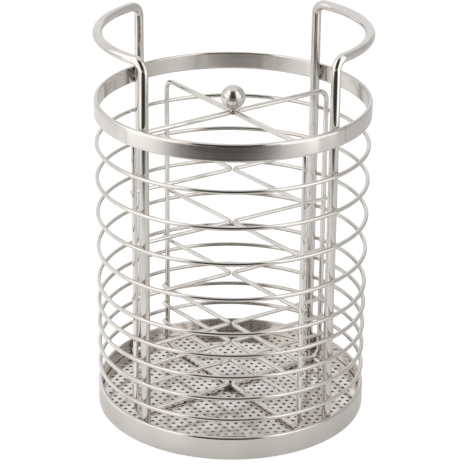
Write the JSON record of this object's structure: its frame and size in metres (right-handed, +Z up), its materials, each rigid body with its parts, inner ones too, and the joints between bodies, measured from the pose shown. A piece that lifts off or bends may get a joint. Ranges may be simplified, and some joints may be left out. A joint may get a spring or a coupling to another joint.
{
  "type": "cutlery drainer",
  "caption": "Round steel wire cutlery basket with banded rim and foot, perforated base, raised loop handles and a lift-out divider with a ball knob.",
  "frame": {"origin": "centre of the circle on which the bottom band stands", "axes": "+Z up; the two handles face each other along X, the right one at +X; +Y points to the back"},
  "size_m": [0.13, 0.13, 0.1908],
  "materials": {
    "satin_band": "satin, brushed along the band",
    "perforated_sheet": "rolled sheet, half bright",
    "basket_wire": "drawn bright wire",
    "handle_wire": "polished thick wire",
    "divider_wire": "drawn bright wire",
    "polished_ball": "polished"
  },
  "bodies": {
    "basket": {"top_band": "satin_band", "bottom_band": "satin_band", "base_plate": "perforated_sheet", "wire_ring_1": "basket_wire", "wire_ring_2": "basket_wire", "wire_ring_3": "basket_wire", "wire_ring_4": "basket_wire", "wire_ring_5": "basket_wire", "wire_ring_6": "basket_wire", "wire_ring_7": "basket_wire", "wire_ring_8": "basket_wire", "wire_ring_9": "basket_wire", "left_handle": "handle_wire", "right_handle": "handle_wire"},
    "divider": {"divider_frame_left": "divider_wire", "divider_frame_right": "divider_wire", "cross_wire_left_1": "divider_wire", "cross_wire_left_2": "divider_wire", "cross_wire_left_3": "divider_wire", "cross_wire_left_4": "divider_wire", "cross_wire_left_5": "divider_wire", "cross_wire_left_6": "divider_wire", "cross_wire_right_1": "divider_wire", "cross_wire_right_2": "divider_wire", "cross_wire_right_3": "divider_wire", "cross_wire_right_4": "divider_wire", "cross_wire_right_5": "divider_wire", "cross_wire_right_6": "divider_wire", "ball_knob": "polished_ball"}
  },
  "joints": [
    {"name": "divider_lift", "type": "slide", "parent": "basket", "child": "divider", "axis": [0, 0, 1], "range_m": [0, 0.165]}
  ]
}
